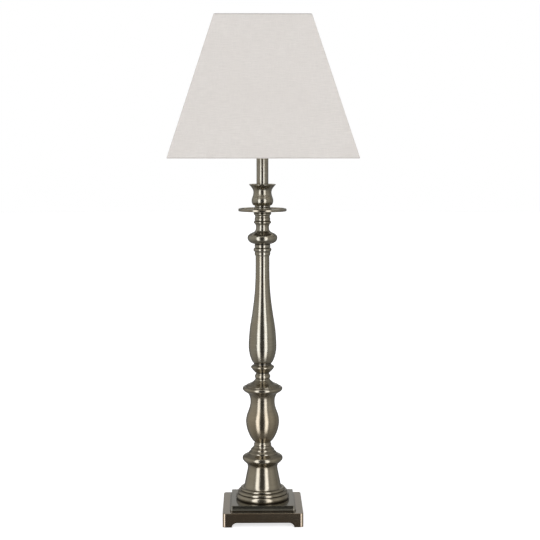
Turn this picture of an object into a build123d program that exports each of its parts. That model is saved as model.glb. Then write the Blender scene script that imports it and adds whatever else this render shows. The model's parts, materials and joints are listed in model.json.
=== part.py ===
from build123d import *
import math
import os

# ---------------------------------------------------------------------------
# Candlestick table lamp: stepped square base on bracket feet, a stack of
# turned hollow castings on one threaded rod, a drip pan, a candle cup and a
# candle tube, a screw lampholder with a push-bar switch, and a square tapered
# fabric shade held by a threaded ring.
# Millimetres, +Z up, origin on the floor under the lamp's axis, front at -Y.
# ---------------------------------------------------------------------------

# ---- driving dimensions: base ----
BASE = 127.0            # side of the lower slab
SLAB_C = 4.5            # corner radius of the slab
SLAB_TOP = 22.7         # height of the slab's top face
PAD_OUT = 0.5           # how far the felt pads stand out under the feet
WALL = 4.0              # skirt wall
WEB = 2.5               # thickness of the slab's top plate
FOOT = 14.2             # length of a bracket foot along each side, at the floor
ARCH = 7.6              # height of the opening between the feet
FOOT_TOP = 7.3          # joint between the feet and the skirt
STEP_BOT = 104.0        # upper step, bottom side
STEP_TOP = 100.0        # upper step, top side
STEP_Z = 31.2           # top face of the upper step
COVER_Z = 9.0           # underside of the bottom cover
COVER_T = 1.6
SCREW_X, SCREW_Y = 50.0, 34.0
INLET_Z = 15.4          # centre of the cord inlet in the rear skirt
INLET_R = 3.95          # hole in the skirt
CORD_R = 3.1            # bore of the inlet bush

# ---- driving dimensions: column ----
ROD_R = 5.0             # M10 x 1 hollow rod
ROD_BORE = 3.75
HOLE = 5.2              # clearance hole for the rod in each casting
ROD_LOW, ROD_HIGH = 13.6, 612.5
TUBE_R = 9.4            # candle tube
TUBE_IN = 8.4
TUBE_SEAT = 513.0
TUBE_TOP = 603.0
PAN_R = 38.1

# ---- driving dimensions: lampholder and bulb ----
CAP_Z = 605.5           # underside of the lampholder
BARREL_Z = 634.0        # joint between lampholder cap and barrel
BARREL_TOP = 662.0
BAR_Z = 628.0           # axis of the switch bar
BAR_R = 2.5
BAR_FIT = 0.05          # running clearance of the bar in the insert
PITCH = 3.62            # Edison 27 thread pitch
GAP = 0.4               # free space between the bulb's thread and the shell

# ---- driving dimensions: shade ----
SH_BOT = 285.0          # outer side at the bottom
SH_TOP = 148.0          # outer side at the top
SH_Z0, SH_Z1 = 580.0, 796.0
FAB = 0.5               # fabric
BACK = 1.2              # stiff backing
WIRE = 1.3              # radius of the edge wires
CARRIER_Z = 637.6       # underside of the carrier ring

SLOPE = (SH_BOT - SH_TOP) / 2 / (SH_Z1 - SH_Z0)
HSEC = math.sqrt(1 + SLOPE * SLOPE)      # wall thickness to horizontal thickness


def half(z, inset=0.0):
    # half side of the shade's outer face at height z, less a wall thickness
    return SH_BOT / 2 - (z - SH_Z0) * SLOPE - inset * HSEC


os.makedirs("parts", exist_ok=True)

# ===========================================================================
# BASE
# ===========================================================================

# Lower slab and its feet, shaped together: a hollow slab with a skirt on four bracket feet.
with BuildPart() as base_body:
    with BuildSketch(Plane.XY.offset(PAD_OUT)):
        RectangleRounded(BASE, BASE, SLAB_C)
    extrude(amount=SLAB_TOP - PAD_OUT)
    fillet(base_body.faces().sort_by(Axis.Z)[-1].edges(), 1.0)
    # hollow underside
    with BuildSketch(Plane.XY):
        Rectangle(BASE - 2 * WALL, BASE - 2 * WALL)
    extrude(amount=SLAB_TOP - WEB, mode=Mode.SUBTRACT)
    # solid corner blocks that stand on the feet
    blk = 12.0
    off = BASE / 2 - WALL - blk / 2
    with BuildSketch(Plane.XY.offset(PAD_OUT)):
        with GridLocations(2 * off, 2 * off, 2, 2):
            Rectangle(blk + 0.2, blk + 0.2)
    extrude(amount=SLAB_TOP - WEB - PAD_OUT)
    # screw bosses for the bottom cover
    with BuildSketch(Plane.XY.offset(COVER_Z + COVER_T)):
        with GridLocations(2 * SCREW_X, 2 * SCREW_Y, 2, 2):
            Circle(3.8)
    extrude(amount=SLAB_TOP - WEB - COVER_Z - COVER_T)
    with BuildSketch(Plane.XY.offset(COVER_Z + COVER_T)):
        with GridLocations(2 * SCREW_X, 2 * SCREW_Y, 2, 2):
            Circle(1.25)
    extrude(amount=7.5, mode=Mode.SUBTRACT)
    # arched openings between the feet, through both ways
    w = BASE / 2 - FOOT
    for pl in (Plane.XZ, Plane.YZ):
        with BuildSketch(pl):
            with BuildLine():
                a1 = RadiusArc((w, 0), (w - 8.3, ARCH), -8.34)
                Line((w - 8.3, ARCH), (-w + 8.3, ARCH))
                RadiusArc((-w + 8.3, ARCH), (-w, 0), -8.34)
                Line((-w, 0), (w, 0))
            make_face()
        extrude(amount=BASE, both=True, mode=Mode.SUBTRACT)
    # pockets for the felt pads
    pad = BASE / 2 - FOOT / 2 - 0.3
    with BuildSketch(Plane.XY):
        with GridLocations(2 * pad, 2 * pad, 2, 2):
            Circle(4.8)
    extrude(amount=PAD_OUT + 1.2, mode=Mode.SUBTRACT)
    # rod hole and cord inlet
    with BuildSketch(Plane.XY):
        Circle(HOLE)
    extrude(amount=SLAB_TOP + 1, mode=Mode.SUBTRACT)
    with BuildSketch(Plane.XZ.offset(-BASE / 2 - 1)):
        with Locations((0, INLET_Z)):
            Circle(INLET_R)
    extrude(amount=WALL + 3, mode=Mode.SUBTRACT)

# Slab with its skirt.
with BuildPart() as base_slab:
    add(base_body.part)
    split(bisect_by=Plane.XY.offset(FOOT_TOP), keep=Keep.TOP)
base_slab.part.label = "base_slab"
export_step(base_slab.part, "parts/base_slab.step")

# Four bracket feet, brazed under the skirt's corners.
with BuildPart() as bracket_feet:
    add(base_body.part)
    split(bisect_by=Plane.XY.offset(FOOT_TOP), keep=Keep.BOTTOM)
bracket_feet.part.label = "bracket_feet"
export_step(bracket_feet.part, "parts/bracket_feet.step")

# Felt pads in the feet.
with BuildPart() as foot_pads:
    with BuildSketch(Plane.XY):
        with GridLocations(2 * pad, 2 * pad, 2, 2):
            Circle(4.6)
    extrude(amount=PAD_OUT + 1.2)
foot_pads.part.label = "foot_pads"
export_step(foot_pads.part, "parts/foot_pads.step")

# Upper step with coved sides, hollow below.
STEP_C = 3.6            # corner radius of the upper step at its widest
with BuildPart() as base_step:
    sb, st = STEP_BOT / 2, STEP_TOP / 2
    run = sb - STEP_C
    # straight sides, then a turned quarter at each corner, all on one coved profile
    for pl in (Plane.XZ, Plane.YZ):
        with BuildSketch(pl):
            with BuildLine():
                Polyline((0, STEP_Z), (0, SLAB_TOP), (sb, SLAB_TOP), (sb, SLAB_TOP + 1.6))
                ThreePointArc((sb, SLAB_TOP + 1.6), (st + 0.55, SLAB_TOP + 3.9), (st, STEP_Z - 1.8))
                Line((st, STEP_Z - 1.8), (st, STEP_Z - 0.7))
                ThreePointArc((st, STEP_Z - 0.7), (st - 0.205, STEP_Z - 0.205), (st - 0.7, STEP_Z))
                Line((st - 0.7, STEP_Z), (0, STEP_Z))
            make_face()
            mirror(about=Plane.YZ)
        extrude(amount=run, both=True)
    for k in range(4):
        with BuildSketch(Plane(origin=Vector(run, run, 0).rotate(Axis.Z, 90 * k),
                               x_dir=Vector(1, 0, 0).rotate(Axis.Z, 90 * k),
                               z_dir=Vector(0, -1, 0).rotate(Axis.Z, 90 * k))):
            with BuildLine():
                r0, r1 = STEP_C, STEP_C - (sb - st)
                Polyline((0, STEP_Z), (0, SLAB_TOP), (r0, SLAB_TOP), (r0, SLAB_TOP + 1.6))
                ThreePointArc((r0, SLAB_TOP + 1.6), (r1 + 0.55, SLAB_TOP + 3.9), (r1, STEP_Z - 1.8))
                Line((r1, STEP_Z - 1.8), (r1, STEP_Z - 0.7))
                ThreePointArc((r1, STEP_Z - 0.7), (r1 - 0.205, STEP_Z - 0.205), (r1 - 0.7, STEP_Z))
                Line((r1 - 0.7, STEP_Z), (0, STEP_Z))
            make_face()
        at = Vector(run, run, 0).rotate(Axis.Z, 90 * k)
        revolve(axis=Axis(at, (0, 0, 1)), revolution_arc=90)
    with BuildSketch(Plane.XY.offset(SLAB_TOP)):
        RectangleRounded(STEP_TOP - 8, STEP_TOP - 8, 3)
    extrude(amount=STEP_Z - SLAB_TOP - 3, mode=Mode.SUBTRACT)
    with BuildSketch(Plane.XY.offset(SLAB_TOP)):
        Circle(HOLE)
    extrude(amount=STEP_Z, mode=Mode.SUBTRACT)
base_step.part.label = "base_step"
export_step(base_step.part, "parts/base_step.step")

# Steel ballast plate under the slab, slotted to the rear for the leads.
with BuildPart() as ballast_plate:
    with BuildSketch(Plane.XY.offset(11.4)):
        RectangleRounded(84, 84, 4)
        Circle(18, mode=Mode.SUBTRACT)
        with Locations((0, 30)):
            Rectangle(15, 30, mode=Mode.SUBTRACT)
    extrude(amount=SLAB_TOP - WEB - 11.4)
    chamfer(ballast_plate.faces().sort_by(Axis.Z)[0].edges(), 0.6)
ballast_plate.part.label = "ballast_plate"
export_step(ballast_plate.part, "parts/ballast_plate.step")

# Bottom cover, notched round the corner blocks.
with BuildPart() as bottom_cover:
    with BuildSketch(Plane.XY.offset(COVER_Z)):
        Rectangle(BASE - 2 * WALL - 0.4, BASE - 2 * WALL - 0.4)
        with GridLocations(BASE - 2 * WALL - 12.4, BASE - 2 * WALL - 12.4, 2, 2):
            Rectangle(13.0, 13.0, mode=Mode.SUBTRACT)
        with GridLocations(2 * SCREW_X, 2 * SCREW_Y, 2, 2):
            Circle(1.7, mode=Mode.SUBTRACT)
    extrude(amount=COVER_T)
bottom_cover.part.label = "bottom_cover"
export_step(bottom_cover.part, "parts/bottom_cover.step")

# Four pan-head screws that hold the cover.
with BuildPart() as cover_screws:
    with BuildSketch(Plane.XY.offset(COVER_Z)):
        with GridLocations(2 * SCREW_X, 2 * SCREW_Y, 2, 2):
            Circle(1.2)
    extrude(amount=8.0)
    with BuildSketch(Plane.XY.offset(COVER_Z - 1.3)):
        with GridLocations(2 * SCREW_X, 2 * SCREW_Y, 2, 2):
            Circle(2.9)
    extrude(amount=1.3)
    fillet(cover_screws.faces().filter_by(Axis.Z).group_by(Axis.Z)[0].edges(), 0.7)
    with BuildSketch(Plane.XY.offset(COVER_Z - 1.3)):
        with GridLocations(2 * SCREW_X, 2 * SCREW_Y, 2, 2):
            Rectangle(3.0, 0.6)
            Rectangle(0.6, 3.0)
    extrude(amount=0.7, mode=Mode.SUBTRACT)
cover_screws.part.label = "cover_screws"
export_step(cover_screws.part, "parts/cover_screws.step")

# Snap bush in the rear skirt, the inlet for a supply cord.
with BuildPart() as inlet_bush:
    with BuildSketch(Plane.YZ):
        with BuildLine():
            y0, y1 = BASE / 2 - WALL, BASE / 2
            Polyline((y0 - 1.2, INLET_Z + CORD_R), (y0 - 1.2, INLET_Z + 4.5), (y0 - 0.05, INLET_Z + 4.7),
                     (y0 - 0.05, INLET_Z + INLET_R - 0.05), (y1 + 0.05, INLET_Z + INLET_R - 0.05),
                     (y1 + 0.05, INLET_Z + 4.9), (y1 + 1.0, INLET_Z + 4.9), (y1 + 1.7, INLET_Z + 4.1),
                     (y1 + 1.7, INLET_Z + CORD_R), (y0 - 1.2, INLET_Z + CORD_R))
        make_face()
    revolve(axis=Axis((0, 0, INLET_Z), (0, 1, 0)))
inlet_bush.part.label = "inlet_bush"
export_step(inlet_bush.part, "parts/inlet_bush.step")

# Two-pole terminal block behind the inlet.
TB_Y, TB_Z = 50.5, 12.2
with BuildPart() as terminal_block:
    with BuildSketch(Plane.XY.offset(TB_Z)):
        with Locations((0, TB_Y)):
            RectangleRounded(18, 10, 1.2)
    extrude(amount=SLAB_TOP - WEB - TB_Z)
    with BuildSketch(Plane.XZ.offset(-TB_Y - 6)):
        with Locations((4, 16.4), (-4, 16.4)):
            Circle(1.2)
    extrude(amount=12, mode=Mode.SUBTRACT)
    with BuildSketch(Plane.XY.offset(TB_Z)):
        with Locations((0, TB_Y)):
            with GridLocations(8, 5, 2, 2):
                Circle(1.35)
    extrude(amount=3.2, mode=Mode.SUBTRACT)
terminal_block.part.label = "terminal_block"
export_step(terminal_block.part, "parts/terminal_block.step")

# Clamp screws of the terminal block.
with BuildPart() as terminal_screws:
    with BuildSketch(Plane.XY.offset(TB_Z + 0.4)):
        with Locations((0, TB_Y)):
            with GridLocations(8, 5, 2, 2):
                Circle(1.25)
    extrude(amount=2.4)
    with BuildSketch(Plane.XY.offset(TB_Z + 0.4)):
        with Locations((0, TB_Y)):
            with GridLocations(8, 5, 2, 2):
                Rectangle(3, 0.5)
    extrude(amount=0.6, mode=Mode.SUBTRACT)
terminal_screws.part.label = "terminal_screws"
export_step(terminal_screws.part, "parts/terminal_screws.step")

# ===========================================================================
# ROD AND ITS FASTENERS
# ===========================================================================

with BuildPart() as threaded_rod:
    with BuildSketch(Plane.XY.offset(ROD_LOW)):
        Circle(ROD_R)
        Circle(ROD_BORE, mode=Mode.SUBTRACT)
    extrude(amount=ROD_HIGH - ROD_LOW)
    chamfer(threaded_rod.faces().filter_by(Axis.Z).edges(), 0.4)
threaded_rod.part.label = "threaded_rod"
export_step(threaded_rod.part, "parts/threaded_rod.step")

UNDER = SLAB_TOP - WEB
with BuildPart() as clamp_washer:
    with BuildSketch(Plane.XY.offset(UNDER - 1.3)):
        Circle(12.5)
        Circle(HOLE, mode=Mode.SUBTRACT)
    extrude(amount=1.3)
clamp_washer.part.label = "clamp_washer"
export_step(clamp_washer.part, "parts/clamp_washer.step")

with BuildPart() as lock_washer:
    with BuildSketch(Plane.XY.offset(UNDER - 2.0)):
        Circle(9.0)
        with PolarLocations(9.0, 12):
            Rectangle(1.6, 1.6, rotation=20, mode=Mode.SUBTRACT)
        Circle(HOLE, mode=Mode.SUBTRACT)
    extrude(amount=0.7)
lock_washer.part.label = "lock_washer"
export_step(lock_washer.part, "parts/lock_washer.step")

with BuildPart() as rod_nut:
    with BuildSketch(Plane.XY.offset(UNDER - 6.0)):
        RegularPolygon(7.0, 6, major_radius=False)
        Circle(ROD_R + 0.05, mode=Mode.SUBTRACT)
    extrude(amount=4.0)
    with BuildSketch(Plane.XZ):
        with BuildLine():
            Polyline((4.0, UNDER - 6.4), (6.6, UNDER - 6.0), (8.4, UNDER - 5.2), (8.4, UNDER - 2.8),
                     (6.6, UNDER - 2.0), (4.0, UNDER - 1.6), (4.0, UNDER - 6.4))
        make_face()
    revolve(axis=Axis.Z, mode=Mode.INTERSECT)
rod_nut.part.label = "rod_nut"
export_step(rod_nut.part, "parts/rod_nut.step")

# Live and neutral leads, from the terminal block up the rod to the lampholder.
with BuildPart() as inner_leads:
    for s in (-1, 1):
        with BuildLine() as run:
            FilletPolyline((s * 4.0, TB_Y, 16.4), (s * 4.0, 38.0, 16.4), (s * 1.4, 14.0, 11.7), (s * 1.4, 0, 11.7),
                           (s * 1.4, 0, 612.0), (s * 6.0, 0, 617.5), (s * 6.0, 0, 621.0),
                           radius=[8.0, 8.0, 3.2, 4.0, 2.8])
        with BuildSketch(Plane(origin=run.line @ 0, z_dir=run.line % 0)):
            Circle(0.8)
        sweep(path=run.line)
inner_leads.part.label = "inner_leads"
export_step(inner_leads.part, "parts/inner_leads.step")

# ===========================================================================
# TURNED COLUMN, from the foot upwards. Each piece is a hollow casting.
# ===========================================================================

# Foot: torus, two quarter-round rings and a tall bell.
with BuildPart() as pedestal:
    with BuildSketch(Plane.XZ):
        with BuildLine():
            Line((37.6, STEP_Z), (41.5, STEP_Z))
            ThreePointArc((41.5, STEP_Z), (42.8, 35.6), (41.0, 39.8))
            Line((41.0, 39.8), (39.5, 40.0))
            ThreePointArc((39.5, 40.0), (39.75, 43.3), (37.2, 45.4))
            Line((37.2, 45.4), (35.7, 45.6))
            ThreePointArc((35.7, 45.6), (35.7, 48.1), (33.0, 49.5))
            Line((33.0, 49.5), (31.2, 49.8))
            Spline((31.2, 49.8), (29.5, 53.0), (28.4, 57.5), (27.3, 63.2), (26.0, 69.6), (24.9, 75.2),
                   (24.1, 79.4), (23.8, 82.2), (24.2, 85.4), (26.2, 89.0))
            Line((26.2, 89.0), (HOLE, 89.0))
            Line((HOLE, 89.0), (HOLE, 84.0))
            Line((HOLE, 84.0), (20.2, 84.0))
            Spline((20.2, 84.0), (20.6, 79.0), (23.6, 63.2), (26.4, 52.0), (31.5, 44.0), (37.6, STEP_Z))
        make_face()
    revolve(axis=Axis.Z)
pedestal.part.label = "pedestal"
export_step(pedestal.part, "parts/pedestal.step")

# Wide rounded ring on the bell.
with BuildPart() as lower_torus:
    with BuildSketch(Plane.XZ):
        with BuildLine():
            Line((22.6, 89.0), (25.4, 89.0))
            Spline((25.4, 89.0), (27.9, 90.4), (30.5, 93.0), (31.9, 95.2), (32.3, 97.3), (31.7, 99.6),
                   (29.5, 101.5), (26.0, 103.2), (22.7, 105.0))
            Polyline((22.7, 105.0), (HOLE, 105.0), (HOLE, 101.4), (20.0, 101.4), (26.4, 99.0), (28.2, 97.2),
                     (27.4, 94.6), (22.6, 91.6), (22.6, 89.0))
        make_face()
    revolve(axis=Axis.Z)
lower_torus.part.label = "lower_torus"
export_step(lower_torus.part, "parts/lower_torus.step")

# Stepped neck under the vase.
with BuildPart() as lower_neck:
    with BuildSketch(Plane.XZ):
        with BuildLine():
            Line((HOLE, 105.0), (22.4, 105.0))
            Line((22.4, 105.0), (22.2, 106.4))
            Spline((22.2, 106.4), (20.6, 108.0), (18.9, 109.4))
            Line((18.9, 109.4), (18.5, 109.9))
            ThreePointArc((18.5, 109.9), (18.55, 111.4), (17.7, 112.6))
            Spline((17.7, 112.6), (15.4, 114.6), (14.0, 117.0))
            Line((14.0, 117.0), (13.5, 117.3))
            ThreePointArc((13.5, 117.3), (14.0, 119.2), (13.4, 121.2))
            Line((13.4, 121.2), (12.9, 122.0))
            Line((12.9, 122.0), (HOLE, 122.0))
            Line((HOLE, 122.0), (HOLE, 105.0))
        make_face()
    revolve(axis=Axis.Z)
lower_neck.part.label = "lower_neck"
export_step(lower_neck.part, "parts/lower_neck.step")

# Vase: pear-shaped body that flares to a mouth.
with BuildPart() as vase:
    with BuildSketch(Plane.XZ):
        with BuildLine():
            Line((HOLE, 122.0), (12.9, 122.0))
            Line((12.9, 122.0), (13.2, 123.4))
            Spline((13.2, 123.4), (15.0, 125.2), (17.3, 128.0), (20.3, 133.0), (23.2, 139.6), (25.2, 146.0),
                   (26.3, 152.4), (26.6, 157.6), (26.0, 163.6), (24.1, 170.4), (21.7, 177.0), (20.0, 183.2),
                   (19.45, 188.8), (19.8, 193.8), (21.0, 198.3), (22.9, 201.6), (25.4, 204.2))
            Line((25.4, 204.2), (20.2, 204.2))
            Spline((20.2, 204.2), (17.0, 196.0), (16.4, 188.8), (17.4, 182.0), (21.4, 170.0), (23.4, 157.6),
                   (21.6, 144.0), (16.0, 132.0), (10.0, 127.0))
            Line((10.0, 127.0), (HOLE, 127.0))
            Line((HOLE, 127.0), (HOLE, 122.0))
        make_face()
    revolve(axis=Axis.Z)
vase.part.label = "vase"
export_step(vase.part, "parts/vase.step")

# Rounded rim ring over the vase's mouth.
with BuildPart() as vase_rim:
    with BuildSketch(Plane.XZ):
        with BuildLine():
            Line((22.6, 204.2), (25.9, 204.2))
            Spline((25.9, 204.2), (29.1, 206.1), (31.3, 208.4), (31.85, 210.4), (31.2, 212.3), (29.6, 213.5),
                   (28.2, 213.6))
            Line((28.2, 213.6), (27.4, 212.9))
            Polyline((27.4, 212.9), (HOLE, 212.9), (HOLE, 209.8), (26.6, 209.8), (27.4, 208.6), (22.6, 205.8),
                     (22.6, 204.2))
        make_face()
    revolve(axis=Axis.Z)
vase_rim.part.label = "vase_rim"
export_step(vase_rim.part, "parts/vase_rim.step")

# Coved cap from the rim up to the bead.
with BuildPart() as vase_cap:
    with BuildSketch(Plane.XZ):
        with BuildLine():
            Line((22.8, 212.9), (27.2, 212.9))
            Line((27.2, 212.9), (26.9, 214.6))
            Spline((26.9, 214.6), (24.4, 216.6), (20.6, 218.2), (17.2, 219.9), (14.4, 222.2), (12.3, 224.2),
                   (11.3, 226.0))
            Polyline((11.3, 226.0), (HOLE, 226.0), (HOLE, 221.8), (8.6, 221.8), (12.6, 219.2), (18.4, 215.8),
                     (22.8, 214.0), (22.8, 212.9))
        make_face()
    revolve(axis=Axis.Z)
vase_cap.part.label = "vase_cap"
export_step(vase_cap.part, "parts/vase_cap.step")

# Small bead.
with BuildPart() as bead_collar:
    with BuildSketch(Plane.XZ):
        with BuildLine():
            Line((HOLE, 226.0), (10.9, 226.0))
            ThreePointArc((10.9, 226.0), (12.35, 229.6), (10.9, 233.4))
            Line((10.9, 233.4), (HOLE, 233.4))
            Line((HOLE, 233.4), (HOLE, 226.0))
        make_face()
    revolve(axis=Axis.Z)
bead_collar.part.label = "bead_collar"
export_step(bead_collar.part, "parts/bead_collar.step")

# Flared ring that carries the baluster, with the lower half of the groove between them.
with BuildPart() as ring_collar:
    with BuildSketch(Plane.XZ):
        with BuildLine():
            Line((HOLE, 233.4), (10.6, 233.4))
            Line((10.6, 233.4), (10.7, 235.6))
            Spline((10.7, 235.6), (13.0, 237.7), (15.9, 240.8), (17.9, 243.6))
            ThreePointArc((17.9, 243.6), (18.45, 245.2), (17.4, 246.9))
            Line((17.4, 246.9), (15.6, 248.4))
            Line((15.6, 248.4), (13.9, 248.9))
            Line((13.9, 248.9), (13.9, 251.0))
            Line((13.9, 251.0), (HOLE, 251.0))
            Line((HOLE, 251.0), (HOLE, 233.4))
        make_face()
    revolve(axis=Axis.Z)
ring_collar.part.label = "ring_collar"
export_step(ring_collar.part, "parts/ring_collar.step")

# Long baluster shaft.
with BuildPart() as baluster:
    with BuildSketch(Plane.XZ):
        with BuildLine():
            Line((HOLE, 251.0), (13.9, 251.0))
            Line((13.9, 251.0), (13.9, 252.0))
            Line((13.9, 252.0), (15.3, 252.4))
            Spline((15.3, 252.4), (17.0, 255.0), (18.4, 258.4), (20.1, 263.4), (21.3, 269.0), (22.0, 274.6),
                   (22.17, 280.0), (21.85, 288.0), (21.05, 300.0), (19.95, 310.2), (18.4, 320.2), (16.8, 330.2),
                   (15.3, 340.2), (13.9, 351.0), (12.75, 362.0), (11.95, 373.0), (11.4, 385.0), (11.1, 400.0),
                   (11.0, 423.6))
            Line((11.0, 423.6), (HOLE, 423.6))
            Line((HOLE, 423.6), (HOLE, 418.6))
            Line((HOLE, 418.6), (8.6, 418.6))
            Spline((8.6, 418.6), (8.7, 400.0), (9.4, 376.0), (12.4, 345.0), (16.8, 312.0), (19.2, 284.0),
                   (17.6, 266.0), (13.0, 257.0))
            Line((13.0, 257.0), (HOLE, 256.0))
            Line((HOLE, 256.0), (HOLE, 251.0))
        make_face()
    revolve(axis=Axis.Z)
baluster.part.label = "baluster"
export_step(baluster.part, "parts/baluster.step")

# Ringed collar over the shaft.
with BuildPart() as shaft_collar:
    with BuildSketch(Plane.XZ):
        with BuildLine():
            Line((HOLE, 423.6), (11.5, 423.6))
            ThreePointArc((11.5, 423.6), (12.5, 426.6), (12.1, 429.4))
            Line((12.1, 429.4), (12.7, 430.0))
            ThreePointArc((12.7, 430.0), (14.35, 433.0), (12.8, 436.0))
            Line((12.8, 436.0), (12.1, 436.6))
            ThreePointArc((12.1, 436.6), (12.55, 439.4), (12.0, 442.4))
            Line((12.0, 442.4), (HOLE, 442.4))
            Line((HOLE, 442.4), (HOLE, 423.6))
        make_face()
    revolve(axis=Axis.Z)
shaft_collar.part.label = "shaft_collar"
export_step(shaft_collar.part, "parts/shaft_collar.step")

# Flattened ball knop.
with BuildPart() as knop:
    with BuildSketch(Plane.XZ):
        with BuildLine():
            Line((HOLE, 442.4), (13.4, 442.4))
            Spline((13.4, 442.4), (17.6, 443.7), (21.0, 446.0), (23.1, 449.0), (23.7, 452.2), (23.0, 455.0),
                   (21.0, 457.4), (18.2, 459.3), (15.0, 460.8), (12.6, 462.2), (11.6, 463.6))
            Line((11.6, 463.6), (HOLE, 463.6))
            Line((HOLE, 463.6), (HOLE, 460.4))
            Spline((HOLE, 460.4), (13.6, 457.6), (18.6, 454.4), (19.6, 451.6), (17.6, 448.4), (13.0, 446.4),
                   (HOLE, 445.6))
            Line((HOLE, 445.6), (HOLE, 442.4))
        make_face()
    revolve(axis=Axis.Z)
knop.part.label = "knop"
export_step(knop.part, "parts/knop.step")

# Waisted neck with a sharp ring.
with BuildPart() as upper_neck:
    with BuildSketch(Plane.XZ):
        with BuildLine():
            Line((HOLE, 463.6), (11.2, 463.6))
            Spline((11.2, 463.6), (10.55, 466.6), (10.4, 469.4), (10.9, 472.0), (11.9, 474.2))
            Line((11.9, 474.2), (12.6, 474.6))
            ThreePointArc((12.6, 474.6), (13.8, 476.7), (12.6, 478.8))
            Line((12.6, 478.8), (12.0, 479.2))
            Line((12.0, 479.2), (HOLE, 479.2))
            Line((HOLE, 479.2), (HOLE, 463.6))
        make_face()
    revolve(axis=Axis.Z)
upper_neck.part.label = "upper_neck"
export_step(upper_neck.part, "parts/upper_neck.step")

# Seat under the drip pan.
with BuildPart() as pan_seat:
    with BuildSketch(Plane.XZ):
        with BuildLine():
            Line((HOLE, 479.2), (12.1, 479.2))
            ThreePointArc((12.1, 479.2), (12.5, 481.8), (11.8, 484.6))
            Spline((11.8, 484.6), (11.75, 486.4), (12.5, 488.0), (13.6, 488.9))
            ThreePointArc((13.6, 488.9), (14.1, 490.2), (13.6, 491.6))
            Line((13.6, 491.6), (13.0, 492.2))
            Line((13.0, 492.2), (13.0, 494.2))
            Line((13.0, 494.2), (HOLE, 494.2))
            Line((HOLE, 494.2), (HOLE, 479.2))
        make_face()
    revolve(axis=Axis.Z)
pan_seat.part.label = "pan_seat"
export_step(pan_seat.part, "parts/pan_seat.step")

# Drip pan: flat spun disc with a rounded, slightly raised edge.
with BuildPart() as drip_pan:
    with BuildSketch(Plane.XZ):
        with BuildLine():
            Line((HOLE, 494.2), (PAN_R - 1.2, 494.2))
            ThreePointArc((PAN_R - 1.2, 494.2), (PAN_R - 0.35, 494.55), (PAN_R, 495.4))
            Line((PAN_R, 495.4), (PAN_R, 497.3))
            ThreePointArc((PAN_R, 497.3), (PAN_R - 0.3, 498.0), (PAN_R - 1.0, 498.3))
            ThreePointArc((PAN_R - 1.0, 498.3), (PAN_R - 2.4, 497.6), (PAN_R - 3.8, 496.4))
            Line((PAN_R - 3.8, 496.4), (15.6, 496.4))
            ThreePointArc((15.6, 496.4), (14.6, 496.7), (14.2, 497.4))
            Line((14.2, 497.4), (HOLE, 497.4))
            Line((HOLE, 497.4), (HOLE, 494.2))
        make_face()
    revolve(axis=Axis.Z)
drip_pan.part.label = "drip_pan"
export_step(drip_pan.part, "parts/drip_pan.step")

# Short collar between pan and cup.
with BuildPart() as cup_collar:
    with BuildSketch(Plane.XZ):
        with BuildLine():
            Line((HOLE, 497.4), (13.6, 497.4))
            ThreePointArc((13.6, 497.4), (13.9, 498.8), (13.0, 500.2))
            Line((13.0, 500.2), (12.2, 500.8))
            Line((12.2, 500.8), (12.2, 503.2))
            Line((12.2, 503.2), (HOLE, 503.2))
            Line((HOLE, 503.2), (HOLE, 497.4))
        make_face()
    revolve(axis=Axis.Z)
cup_collar.part.label = "cup_collar"
export_step(cup_collar.part, "parts/cup_collar.step")

# Candle cup: tulip body with a flared, dished rim and a socket for the tube.
with BuildPart() as candle_cup:
    with BuildSketch(Plane.XZ):
        with BuildLine():
            Line((HOLE, 503.2), (12.9, 503.2))
            Spline((12.9, 503.2), (14.9, 504.2), (16.3, 506.4), (17.05, 509.8), (16.7, 513.6), (15.5, 517.4),
                   (14.6, 520.8), (14.25, 524.0), (14.75, 527.0), (16.1, 529.9), (18.2, 532.8), (20.7, 535.5))
            ThreePointArc((20.7, 535.5), (21.0, 536.3), (20.3, 536.8))
            Spline((20.3, 536.8), (17.6, 533.8), (14.8, 531.0), (12.2, 529.4), (TUBE_R + 0.05, 528.8))
            Line((TUBE_R + 0.05, 528.8), (TUBE_R + 0.05, TUBE_SEAT))
            Line((TUBE_R + 0.05, TUBE_SEAT), (HOLE, TUBE_SEAT))
            Line((HOLE, TUBE_SEAT), (HOLE, 503.2))
        make_face()
    revolve(axis=Axis.Z)
candle_cup.part.label = "candle_cup"
export_step(candle_cup.part, "parts/candle_cup.step")

# Candle tube.
with BuildPart() as candle_tube:
    with BuildSketch(Plane.XY.offset(TUBE_SEAT)):
        Circle(TUBE_R)
        Circle(TUBE_IN, mode=Mode.SUBTRACT)
    extrude(amount=TUBE_TOP - TUBE_SEAT)
candle_tube.part.label = "candle_tube"
export_step(candle_tube.part, "parts/candle_tube.step")

# Cap that closes and centres the tube on the rod.
with BuildPart() as tube_cap:
    with BuildSketch(Plane.XZ):
        with BuildLine():
            Polyline((HOLE, TUBE_TOP - 4), (TUBE_IN - 0.05, TUBE_TOP - 4), (TUBE_IN - 0.05, TUBE_TOP),
                     (10.6, TUBE_TOP), (10.9, TUBE_TOP + 0.8), (10.4, CAP_Z), (HOLE, CAP_Z), (HOLE, TUBE_TOP - 4))
        make_face()
    revolve(axis=Axis.Z)
tube_cap.part.label = "tube_cap"
export_step(tube_cap.part, "parts/tube_cap.step")

# ===========================================================================
# LAMPHOLDER
# ===========================================================================

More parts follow.
